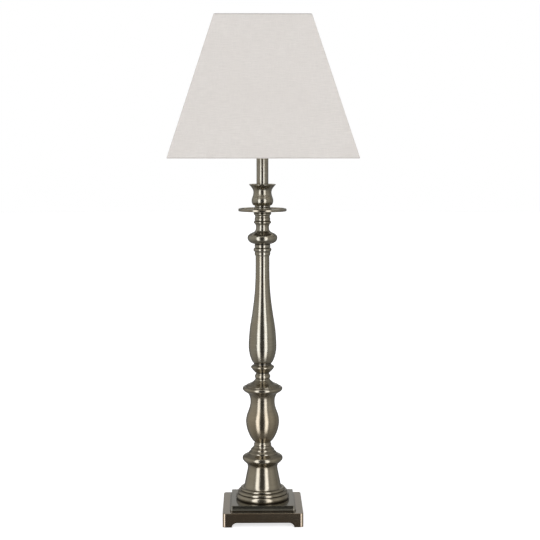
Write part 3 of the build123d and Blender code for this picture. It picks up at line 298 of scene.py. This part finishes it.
def antique(name, turned=True, tint=1.0, rough=0.20, aniso=0.62, coat=0.55, coat_rough=0.16):
    """Lacquered antiqued brass: fine turning marks or straight grain, a brown bloom in patches, painted shade in the
    crevices and painted shadow in the gaps between turned parts.
    """
    m, h, b = fresh(name)
    p = here(h)
    if turned:
        d, r, z = round_brushed(h, p)
        dx, dy, _ = h.split(d)
        fine = h.noise(h.join(h.math("MULTIPLY", dx, 1.3), h.math("MULTIPLY", dy, 1.3), h.math("MULTIPLY", r, 3600.0)),
                       1.0, 3.0, 0.65, w=h.math("MULTIPLY", z, 3600.0))
        band = h.noise(h.join(h.math("MULTIPLY", dx, 0.8), h.math("MULTIPLY", dy, 0.8), h.math("MULTIPLY", r, 420.0)),
                       1.0, 2.0, 0.6, w=h.math("MULTIPLY", z, 420.0))
    else:
        x, y, z = h.split(p)
        fine = h.noise(h.join(h.math("MULTIPLY", x, 60.0), h.math("MULTIPLY", y, 3000.0), h.math("MULTIPLY", z, 3000.0)),
                       1.0, 3.0, 0.65)
        band = h.noise(h.join(h.math("MULTIPLY", x, 14.0), h.math("MULTIPLY", y, 260.0), h.math("MULTIPLY", z, 260.0)),
                       1.0, 2.0, 0.6)
    bloom = h.noise(p, 26.0, 3.0, 0.55, distortion=0.6)
    fleck = h.noise(p, 900.0, 2.0, 0.5)
    ground = h.mix(h.span(bloom, 0.34, 0.64), (0.300 * tint, 0.284 * tint, 0.230 * tint), (0.266 * tint, 0.232 * tint, 0.168 * tint))
    # old lacquer has gone brown in a few larger areas
    stain = h.noise(h.vmath("MULTIPLY", p, (1.0, 1.0, 0.62)), 15.0, 3.0, 0.55, distortion=0.4)
    ground = h.mix(h.span(stain, 0.52, 0.68, 0.0, 0.45, True), ground, (0.262 * tint, 0.202 * tint, 0.122 * tint))
    if turned:
        # the lower part of the stem has aged warmer, most of all under the belly of the vase
        ground = h.mix(h.span(z, 0.17, 0.31, 0.45, 0.0), ground, (0.285 * tint, 0.232 * tint, 0.156 * tint))
        belly = h.math("ABSOLUTE", h.math("SUBTRACT", z, 0.152))
        ground = h.mix(h.span(belly, 0.008, 0.036, 0.38, 0.0, True), ground, (0.325 * tint, 0.238 * tint, 0.130 * tint))
    ground = h.mix(h.span(fine, 0.25, 0.75, 0.0, 0.30), ground, (0.390 * tint, 0.368 * tint, 0.304 * tint))
    ground = h.mix(h.span(band, 0.30, 0.62, 0.24, 0.0), ground, (0.175 * tint, 0.142 * tint, 0.094 * tint))
    ground = h.mix(h.span(fleck, 0.66, 0.74, 0.0, 0.35), ground, (0.12 * tint, 0.095 * tint, 0.065 * tint))
    if not turned:
        # lit and shaded tones of the same brass, painted by height: the skirt and feet lighter and browner, the step
        # nearly black
        brown = h.mix(h.span(bloom, 0.34, 0.68), (0.520, 0.375, 0.245), (0.450, 0.355, 0.255))
        dark = h.mix(h.span(bloom, 0.34, 0.68), (0.150, 0.146, 0.120), (0.180, 0.168, 0.130))
        ground = h.mix(h.span(h.split(p)[2], 0.0222, 0.0232), h.mix(0.8, ground, brown), h.mix(0.75, ground, dark))
    # painted shade: ambient occlusion darkens the brass in crevices and under overhangs, and the same mask makes those
    # places rougher
    ao_shade_mask = h.span(crevice(h, 0.0036, 8), 0.44, 0.92, 0.08, 1.0, True)
    ground = h.mix(ao_shade_mask, (0.085 * tint, 0.066 * tint, 0.045 * tint), ground)
    if turned:
        # painted shadow: dark bands at the gaps between the turned parts, where the gap lies in shade
        for joint, half in ((0.2513, 0.0022), (0.4418, 0.0015), (0.2358, 0.0010)):
            off = h.math("ABSOLUTE", h.math("SUBTRACT", z, joint))
            ground = h.mix(h.span(off, half * 0.55, half, 0.86, 0.0), ground, (0.040 * tint, 0.033 * tint, 0.024 * tint))
    h.link(ground, b.inputs["Base Color"])
    b.inputs["Metallic"].default_value = 1.0
    gloss = h.math("ADD", h.span(fine, 0.2, 0.8, rough - 0.03, rough + 0.07), h.span(bloom, 0.3, 0.7, -0.015, 0.03))
    gloss = h.math("ADD", gloss, h.span(ao_shade_mask, 0.0, 1.0, 0.12, 0.0))
    h.link(gloss, b.inputs["Roughness"])
    if turned:
        b.inputs["Anisotropic"].default_value = aniso
        b.inputs["Anisotropic Rotation"].default_value = 0.25
        tangent = h.new("ShaderNodeTangent", direction_type="RADIAL", axis="Z")
        h.link(tangent.outputs[0], b.inputs["Tangent"])
    b.inputs["Coat Weight"].default_value = coat
    b.inputs["Coat Roughness"].default_value = coat_rough
    b.inputs["Coat IOR"].default_value = 1.5
    n = h.bump(fine, 0.16, 0.00004)
    n = h.bump(bloom, 0.05, 0.0006, n)
    h.link(n, b.inputs["Normal"])
    return m


def plain_metal(name, colour, rough, grain=1500.0, dark=0.55):
    m, h, b = fresh(name)
    p = here(h)
    a = h.noise(p, grain, 3.0, 0.6)
    c = h.noise(p, grain / 22, 3.0, 0.6)
    tone = h.mix(h.span(c, 0.35, 0.7), colour, tuple(x * dark for x in colour))
    tone = h.mix(h.span(a, 0.55, 0.75, 0.0, 0.35), tone, tuple(x * 0.4 for x in colour))
    h.link(tone, b.inputs["Base Color"])
    b.inputs["Metallic"].default_value = 1.0
    h.link(h.span(c, 0.3, 0.7, rough, rough + 0.16), b.inputs["Roughness"])
    h.link(h.bump(a, 0.18, 0.00006), b.inputs["Normal"])
    return m


def moulded(name, colour, rough=0.32, grain=700.0, depth=0.12, coat=0.0, spot=0.10):
    m, h, b = fresh(name)
    p = here(h)
    a = h.noise(p, grain, 3.0, 0.55)
    c = h.noise(p, 38.0, 3.0, 0.5)
    tone = h.mix(h.span(c, 0.35, 0.68), colour, tuple(x * 0.90 for x in colour))
    tone = h.mix(h.span(a, 0.60, 0.72, 0.0, spot), tone, tuple(x * 0.55 for x in colour))
    # painted shade: ambient occlusion darkens the colour in crevices
    h.link(h.mix(h.span(crevice(h, 0.004), 0.2, 0.9, 0.0, 1.0), tuple(x * 0.45 for x in colour), tone), b.inputs["Base Color"])
    h.link(h.span(a, 0.3, 0.7, rough, rough + 0.12), b.inputs["Roughness"])
    if coat:
        b.inputs["Coat Weight"].default_value = coat
        b.inputs["Coat Roughness"].default_value = 0.06
    h.link(h.bump(a, depth, 0.00005), b.inputs["Normal"])
    return m


def felt():
    m, h, b = fresh("felt")
    p = here(h)
    fibre = h.noise(p, 2600.0, 4.0, 0.75, distortion=1.4)
    clump = h.noise(p, 420.0, 3.0, 0.6)
    tone = h.mix(h.span(fibre, 0.3, 0.7), (0.030, 0.036, 0.026), (0.105, 0.120, 0.088))
    h.link(h.mix(h.span(clump, 0.3, 0.7, 0.0, 0.5), tone, (0.05, 0.055, 0.042)), b.inputs["Base Color"])
    b.inputs["Roughness"].default_value = 0.95
    b.inputs["Sheen Weight"].default_value = 0.5
    b.inputs["Sheen Roughness"].default_value = 0.6
    h.link(h.bump(fibre, 0.8, 0.0004, h.bump(clump, 0.5, 0.0008)), b.inputs["Normal"])
    return m


def board():
    m, h, b = fresh("cover_board")
    p = here(h)
    a = h.noise(p, 1500.0, 4.0, 0.7)
    c = h.noise(p, 60.0, 4.0, 0.6)
    tone = h.mix(h.span(a, 0.3, 0.7), (0.020, 0.020, 0.020), (0.055, 0.054, 0.052))
    h.link(h.mix(h.span(c, 0.4, 0.7, 0.0, 0.5), tone, (0.075, 0.072, 0.066)), b.inputs["Base Color"])
    h.link(h.span(a, 0.3, 0.7, 0.62, 0.82), b.inputs["Roughness"])
    h.link(h.bump(a, 0.5, 0.0002), b.inputs["Normal"])
    return m


def cast_iron():
    m, h, b = fresh("iron")
    p = here(h)
    a = h.noise(p, 600.0, 5.0, 0.7)
    c = h.noise(p, 50.0, 4.0, 0.6)
    tone = h.mix(h.span(a, 0.35, 0.65), (0.06, 0.058, 0.055), (0.19, 0.18, 0.17))
    h.link(h.mix(h.span(c, 0.5, 0.72, 0.0, 0.55), tone, (0.16, 0.075, 0.035)), b.inputs["Base Color"])
    b.inputs["Metallic"].default_value = 0.7
    h.link(h.span(c, 0.3, 0.7, 0.5, 0.8), b.inputs["Roughness"])
    h.link(h.bump(a, 0.5, 0.0003), b.inputs["Normal"])
    return m


def glass():
    """Thin clear glass with faint cords and a little dust."""
    m, h, b = fresh("bulb_glass")
    p = here(h)
    cord = h.noise(p, 70.0, 2.0, 0.5, distortion=1.0)
    dust = h.noise(p, 1500.0, 3.0, 0.6)
    b.inputs["Base Color"].default_value = (1.0, 1.0, 1.0, 1.0)
    b.inputs["Transmission Weight"].default_value = 1.0
    b.inputs["IOR"].default_value = 1.46
    h.link(h.span(dust, 0.6, 0.8, 0.015, 0.10), b.inputs["Roughness"])
    h.link(h.bump(cord, 0.10, 0.0006), b.inputs["Normal"])
    return m


def phosphor():
    m, h, b = fresh("filament")
    p = here(h)
    a = h.noise(p, 1400.0, 3.0, 0.6)
    h.link(h.mix(h.span(a, 0.3, 0.7), (0.84, 0.57, 0.13), (0.95, 0.72, 0.28)), b.inputs["Base Color"])
    h.link(h.span(a, 0.3, 0.7, 0.42, 0.6), b.inputs["Roughness"])
    h.link(h.bump(a, 0.4, 0.0001), b.inputs["Normal"])
    return m


def linen():
    """Plain-weave linen, by the cloth's own flat coordinates in metres: u across, v up the face."""
    m, h, b = fresh("linen")
    uv = h.new("ShaderNodeUVMap", uv_map="cloth").outputs[0]
    u, v, _ = h.split(uv)
    count = 1450.0  # threads to the metre
    # threads wander a little, and swell where the yarn is thick
    wander = h.noise(h.join(h.math("MULTIPLY", u, 45.0), h.math("MULTIPLY", v, 45.0), 0.0), 1.0, 2.0, 0.5)
    wob = h.span(wander, 0.0, 1.0, -0.00045, 0.00045)
    tu = h.math("MULTIPLY", h.math("ADD", u, wob), count)
    tv = h.math("MULTIPLY", h.math("ADD", v, wob), count)
    su = h.math("SINE", h.math("MULTIPLY", tu, math.pi))
    sv = h.math("SINE", h.math("MULTIPLY", tv, math.pi))
    warp = h.math("ABSOLUTE", su)
    weft = h.math("ABSOLUTE", sv)
    # which thread is on top, in a chequer
    over = h.math("MULTIPLY", h.math("FLOORED_MODULO", h.math("ADD", h.math("FLOOR", tu), h.math("FLOOR", tv)), 2.0), 1.0)
    height = h.math("ADD", h.math("MULTIPLY", over, warp), h.math("MULTIPLY", h.math("SUBTRACT", 1.0, over), weft))
    slub_weft = h.noise(h.join(h.math("MULTIPLY", u, 60.0), h.math("MULTIPLY", v, count * 0.55), 3.0), 1.0, 3.0, 0.6)
    slub_warp = h.noise(h.join(h.math("MULTIPLY", u, count * 0.55), h.math("MULTIPLY", v, 60.0), 9.0), 1.0, 3.0, 0.6)
    cloud = h.noise(h.join(h.math("MULTIPLY", u, 14.0), h.math("MULTIPLY", v, 14.0), 1.0), 1.0, 4.0, 0.6)
    tone = h.mix(h.span(slub_weft, 0.36, 0.66), (0.592, 0.555, 0.508), (0.664, 0.624, 0.572))
    tone = h.mix(h.span(slub_warp, 0.40, 0.68, 0.0, 0.55), tone, (0.680, 0.638, 0.586))
    tone = h.mix(h.span(cloud, 0.38, 0.66, 0.0, 0.30), tone, (0.614, 0.568, 0.520))
    tone = h.mix(h.span(height, 0.0, 0.55, 0.55, 0.0), tone, (0.482, 0.446, 0.402))
    # painted shade: a slightly grey line where the cloth folds over the two edge wires
    for at in FOLDS:
        near = h.math("ABSOLUTE", h.math("SUBTRACT", v, at))
        tone = h.mix(h.span(near, 0.0005, 0.0017, 0.6, 0.0, True), tone, (0.335, 0.310, 0.285))
    h.link(tone, b.inputs["Base Color"])
    b.inputs["Roughness"].default_value = 0.9
    b.inputs["Specular IOR Level"].default_value = 0.25
    b.inputs["Sheen Weight"].default_value = 0.12
    b.inputs["Sheen Roughness"].default_value = 0.5
    n = h.bump(height, 0.42, 0.00022)
    n = h.bump(h.math("ADD", slub_weft, slub_warp), 0.30, 0.0003, n)
    n = h.bump(cloud, 0.10, 0.0010, n)
    h.link(n, b.inputs["Normal"])
    return m


def backing():
    """Smooth white backing sheet, with the faint print-through of the weave glued behind it."""
    m, h, b = fresh("shade_backing")
    p = here(h)
    a = h.noise(p, 1100.0, 3.0, 0.6)
    c = h.noise(p, 16.0, 3.0, 0.6)
    x, y, z = h.split(p)
    ribs = h.noise(h.join(h.math("MULTIPLY", x, 90.0), h.math("MULTIPLY", y, 90.0), h.math("MULTIPLY", z, 1300.0)), 1.0, 2.0, 0.5)
    tone = h.mix(h.span(c, 0.3, 0.7), (0.83, 0.815, 0.785), (0.77, 0.750, 0.710))
    tone = h.mix(h.span(ribs, 0.45, 0.7, 0.0, 0.35), tone, (0.70, 0.68, 0.64))
    h.link(tone, b.inputs["Base Color"])
    h.link(h.span(a, 0.3, 0.7, 0.38, 0.52), b.inputs["Roughness"])
    h.link(h.bump(ribs, 0.12, 0.0002, h.bump(a, 0.10, 0.00006)), b.inputs["Normal"])
    return m


def dipped():
    """White dipped coating on wire, a little uneven."""
    m, h, b = fresh("shade_wire")
    p = here(h)
    a = h.noise(p, 420.0, 3.0, 0.6)
    c = h.noise(p, 2200.0, 2.0, 0.5)
    tone = h.mix(h.span(a, 0.3, 0.7), (0.80, 0.79, 0.76), (0.70, 0.685, 0.65))
    h.link(h.mix(h.span(c, 0.66, 0.76, 0.0, 0.6), tone, (0.45, 0.43, 0.40)), b.inputs["Base Color"])
    h.link(h.span(a, 0.3, 0.7, 0.28, 0.42), b.inputs["Roughness"])
    b.inputs["Coat Weight"].default_value = 0.3
    b.inputs["Coat Roughness"].default_value = 0.15
    h.link(h.bump(a, 0.35, 0.0003), b.inputs["Normal"])
    return m


looks = {
    "antique_brass": antique("antique_brass"),
    "base_brass": antique("base_brass", turned=False, rough=0.165, coat=0.85, coat_rough=0.07),
    "plain_steel": plain_metal("plain_steel", (0.56, 0.56, 0.54), 0.28),
    "iron": cast_iron(),
    "felt": felt(),
    "cover_board": board(),
    "bush_plastic": moulded("bush_plastic", (0.050, 0.034, 0.022), 0.36),
    "terminal_plastic": moulded("terminal_plastic", (0.72, 0.70, 0.64), 0.4),
    "lead_sleeve": moulded("lead_sleeve", (0.16, 0.075, 0.035), 0.42),
    "holder_plastic": moulded("holder_plastic", (0.78, 0.755, 0.69), 0.22, grain=500.0, depth=0.10),
    "holder_ceramic": moulded("holder_ceramic", (0.80, 0.79, 0.75), 0.16, grain=260.0, depth=0.10, coat=0.6, spot=0.35),
    "contact_brass": plain_metal("contact_brass", (0.74, 0.53, 0.24), 0.2, dark=0.75),
    "bulb_metal": plain_metal("bulb_metal", (0.74, 0.73, 0.71), 0.22, dark=0.8),
    "bulb_black": moulded("bulb_black", (0.018, 0.018, 0.020), 0.12, coat=0.5),
    "bulb_glass": glass(),
    "filament": phosphor(),
    "linen": linen(),
    "shade_backing": backing(),
    "shade_wire": dipped(),
}
slot_of = {s["node"]: s["material_slot"] for s in frame["record"]["subparts"]}
for name, o in nodes.items():
    o.data.materials.clear()
    o.data.materials.append(looks[slot_of[name]])
    o.data.polygons.foreach_set("material_index", np.zeros(len(o.data.polygons), np.int32))

# ---------------------------------------------------------------------------
# Linen cover of the shade: one cloth, stretched over the four panels and turned
# in round the edge wires, with a lap seam down one rear corner
# ---------------------------------------------------------------------------
def smooth_noise(a, b, seed):
    """A soft repeatable wave of about one, for cloth that isn't dead flat."""
    rng = np.random.default_rng(seed)
    total = np.zeros(np.broadcast(a, b).shape)
    for k in range(7):
        fa, fb = rng.uniform(0.6, 3.2), rng.uniform(0.6, 3.2)
        pa, pb = rng.uniform(0, 2 * math.pi, 2)
        total += np.sin(a * fa * 2 * math.pi + pa) * np.sin(b * fb * 2 * math.pi + pb) / (1 + 0.6 * k)
    return total / 2.2


PER = 40          # spans along a side
ARC = 5           # spans round a corner


def ring(inset, z):
    """One ring of the cloth at this depth and height, from the front left corner, anticlockwise seen from above."""
    h = half_at(z, inset)
    rc = 0.0012 if inset < 0.0002 else 0.0009 if inset < 0.001 else 0.0034 if inset > 0.0045 else 0.0020
    pts, face, along = [], [], []
    for k in range(4):
        c, s = round(math.cos(k * math.pi / 2)), round(math.sin(k * math.pi / 2))
        for i in range(PER + 1):
            t = -1 + 2 * i / PER
            x, y = t * (h - rc), -h
            pts.append((x * c - y * s, x * s + y * c))
            face.append(k)
            along.append(t * (h - rc))
        for i in range(1, ARC):
            a = math.radians(-90 + 90 * i / ARC)
            x, y = h - rc + rc * math.cos(a), -h + rc + rc * math.sin(a)
            pts.append((x * c - y * s, x * s + y * c))
            face.append(k)
            along.append(h - rc + rc * math.radians(90 * i / ARC))
    return np.array(pts), np.array(face), np.array(along)


rings = [ring(i, z) for i, z in section]
count = len(rings[0][0])
co = np.zeros((len(section), count, 3))
for j, ((inset, z), (p, face, along)) in enumerate(zip(section, rings)):
    co[j, :, :2] = p
    co[j, :, 2] = z
# the cloth lies on the panels; its face swells and dips by a hair, nil at the edges
for j, (inset, z) in enumerate(section):
    if 0.0 <= inset < 0.0002 and Z0 + 0.004 < z < Z1 - 0.004:
        p, face, along = rings[j]
        h = half_at(z, inset)
        s = along / h
        v = (z - Z0) / (Z1 - Z0)
        fade = np.clip((1 - np.abs(s)) / 0.10, 0, 1) * min(1.0, v / 0.06, (1 - v) / 0.06)
        amp = 0.00016 * fade * (smooth_noise((s + 1) / 2 + face * 1.7, np.full_like(s, v), 11) + 0.5)
        out = np.array([[0, -1], [1, 0], [0, 1], [-1, 0]])[face]
        co[j, :, 0] += out[:, 0] * amp
        co[j, :, 1] += out[:, 1] * amp

mesh = bpy.data.meshes.new("linen_cover")
bm = bmesh.new()
cloth_uv = bm.loops.layers.uv.new("cloth")
vs = [[bm.verts.new(co[j, i]) for i in range(count)] for j in range(len(section))]
m = len(section)
for j in range(m):
    for i in range(count):
        a, b_, c, d = vs[j][i], vs[j][(i + 1) % count], vs[(j + 1) % m][(i + 1) % count], vs[(j + 1) % m][i]
        f = bm.faces.new((a, b_, c, d))
        f.smooth = True
        k = rings[j][1][i]
        base = rings[j][2]
        base2 = rings[(j + 1) % m][2]
        last = i + 1 == count or rings[j][1][(i + 1) % count] != k
        end = base[i] + (0.0002 if last else base[(i + 1) % count] - base[i])
        end2 = base2[i] + (0.0002 if last else base2[(i + 1) % count] - base2[i])
        v0 = up[j]
        v1 = up[j + 1] if j + 1 < m else up[j] + 0.0005
        for loop, (uu, vv) in zip(f.loops, ((base[i], v0), (end, v0), (end2, v1), (base2[i], v1))):
            loop[cloth_uv].uv = (uu + k * 0.3137, vv)

# lap seam: a narrow second layer that ends on the rear face, by the left corner
LAP = 0.009
lap_rows, lap_cols = 46, 4
lap = {}
for side in (0, 1):
    for j in range(lap_rows + 1):
        z = Z0 + 0.0018 + (Z1 - Z0 - 0.0036) * j / lap_rows
        h = half_at(z, 0.0)
        for i in range(lap_cols + 1):
            t = i / lap_cols
            wave = 0.00035 * math.sin(j * 1.7) * math.sin(j * 0.61 + 1.3)
            x = -h + 0.0013 + t * (LAP + wave)
            lift = (0.00036 if side else 0.00002) * (1.0 if t < 0.99 else 0.75)
            lap[side, j, i] = bm.verts.new((x, h + 0.00003 + lift, z))


def lap_face(keys):
    f = bm.faces.new([lap[k] for k in keys])
    f.smooth = False
    for loop in f.loops:
        x, y, z = loop.vert.co
        loop[cloth_uv].uv = (x * 1.0 + 2.0, (z - Z0) * SEC + 0.013)
    return f


for j in range(lap_rows):
    for i in range(lap_cols):
        lap_face([(1, j, i), (1, j + 1, i), (1, j + 1, i + 1), (1, j, i + 1)])
        lap_face([(0, j, i), (0, j, i + 1), (0, j + 1, i + 1), (0, j + 1, i)])
    lap_face([(0, j, 0), (0, j + 1, 0), (1, j + 1, 0), (1, j, 0)])
    lap_face([(0, j, lap_cols), (1, j, lap_cols), (1, j + 1, lap_cols), (0, j + 1, lap_cols)])
for i in range(lap_cols):
    lap_face([(0, 0, i), (1, 0, i), (1, 0, i + 1), (0, 0, i + 1)])
    lap_face([(0, lap_rows, i), (0, lap_rows, i + 1), (1, lap_rows, i + 1), (1, lap_rows, i)])
bmesh.ops.recalc_face_normals(bm, faces=bm.faces)
bm.to_mesh(mesh)
bm.free()
mesh.materials.append(looks["linen"])
cover = bpy.data.objects.new("linen_cover", mesh)
bpy.context.scene.collection.objects.link(cover)
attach(cover, "shade")
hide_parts("shade_cover")

# ---------------------------------------------------------------------------
# Welds of the shade's wire arms: a bead at the carrier ring, and the end of each
# arm where it goes through the turned-in cloth to the bottom wire
# ---------------------------------------------------------------------------


def collar(bm, start, end, radii, around=20, seed=0, wobble=0.06):
    """A closed turned bead from start to end with these (share of the length, radius) stations, slightly uneven."""
    rng = np.random.default_rng(seed)
    ph = rng.uniform(0, 6.28, 4)
    start, end = Vector(start), Vector(end)
    axis = (end - start).normalized()
    side = axis.cross(Vector((0, 0, 1)))
    side = side.normalized() if side.length > 1e-4 else Vector((1, 0, 0))
    up_ = axis.cross(side)
    rows_ = []
    for t, r in radii:
        row = []
        for i in range(around):
            a = 2 * math.pi * i / around
            k = 1 + wobble * (math.sin(2 * a + ph[0] + 3 * t) + 0.6 * math.sin(3 * a + ph[1] + 7 * t))
            row.append(bm.verts.new(start.lerp(end, t) + (side * math.cos(a) + up_ * math.sin(a)) * r * k))
        rows_.append(row)
    for r0, r1 in zip(rows_, rows_[1:]):
        for i in range(around):
            f = bm.faces.new((r0[i], r0[(i + 1) % around], r1[(i + 1) % around], r1[i]))
            f.smooth = True
    for row, point, flip in ((rows_[0], start, True), (rows_[-1], end, False)):
        mid = bm.verts.new(point)
        for i in range(around):
            a, b_ = row[i], row[(i + 1) % around]
            f = bm.faces.new((b_, a, mid) if flip else (a, b_, mid))
            f.smooth = True


arm_lo, arm_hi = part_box("carrier_arms")
ring_lo, ring_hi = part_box("carrier_ring")
ring_r = (ring_hi.x - ring_lo.x) / 2
mid_z = (ring_lo.z + ring_hi.z) / 2
arm_end = (arm_hi.x - 0.0016 * 0.7) * math.sqrt(2)
bm = bmesh.new()
for k in range(4):
    c, s = math.cos(math.radians(45 + 90 * k)), math.sin(math.radians(45 + 90 * k))
    collar(bm, ((ring_r - 0.0016) * c, (ring_r - 0.0016) * s, mid_z), ((ring_r + 0.0052) * c, (ring_r + 0.0052) * s, mid_z),
           [(0.0, 0.0010), (0.10, 0.0019), (0.24, 0.0025), (0.38, 0.0027), (0.55, 0.0023), (0.75, 0.00185), (1.0, 0.00158)],
           seed=20 + k)
    a0 = arm_end - 0.0016
    z_in = arm_lo.z + 0.0018
    collar(bm, (a0 * c, a0 * s, z_in), ((arm_end + 0.0042) * c, (arm_end + 0.0042) * s, z_in - 0.0022),
           [(0.0, 0.0016), (0.2, 0.00168), (0.45, 0.0018), (0.7, 0.0019), (0.9, 0.0016), (1.0, 0.0009)], seed=40 + k, wobble=0.04)
bmesh.ops.recalc_face_normals(bm, faces=bm.faces)
mesh = bpy.data.meshes.new("arm_welds")
bm.to_mesh(mesh)
bm.free()
mesh.materials.append(looks["shade_wire"])
welds = bpy.data.objects.new("arm_welds", mesh)
bpy.context.scene.collection.objects.link(welds)
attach(welds, "shade")

# ---------------------------------------------------------------------------
# Floor: plain and pale, a flat round disc
# ---------------------------------------------------------------------------
floor_mat, h, b = fresh("floor")
pale = h.noise(here(h), 3.0, 2.0, 0.5)
h.link(h.mix(h.span(pale, 0.3, 0.7), (0.90, 0.90, 0.90), (0.885, 0.885, 0.885)), b.inputs["Base Color"])
b.inputs["Roughness"].default_value = 0.9
b.inputs["Specular IOR Level"].default_value = 0.1
b.inputs["Emission Color"].default_value = (1.0, 1.0, 1.0, 1.0)
b.inputs["Emission Strength"].default_value = 0.66
bm = bmesh.new()
spokes, rims = 96, [0.0, 0.2, 0.5, 1.0, 2.0, 4.0, 8.0]
rows_ = [[bm.verts.new((0, 0, -0.00005))]]
for r in rims[1:]:
    rows_.append([bm.verts.new((r * math.cos(2 * math.pi * i / spokes), r * math.sin(2 * math.pi * i / spokes), -0.00005))
                  for i in range(spokes)])
for i in range(spokes):
    bm.faces.new((rows_[0][0], rows_[1][i], rows_[1][(i + 1) % spokes]))
for r0, r1 in zip(rows_[1:], rows_[2:]):
    for i in range(spokes):
        bm.faces.new((r0[i], r1[i], r1[(i + 1) % spokes], r0[(i + 1) % spokes]))
mesh = bpy.data.meshes.new("floor")
bm.to_mesh(mesh)
bm.free()
mesh.materials.append(floor_mat)
floor = bpy.data.objects.new("floor", mesh)
bpy.context.scene.collection.objects.link(floor)
floor.visible_glossy = False
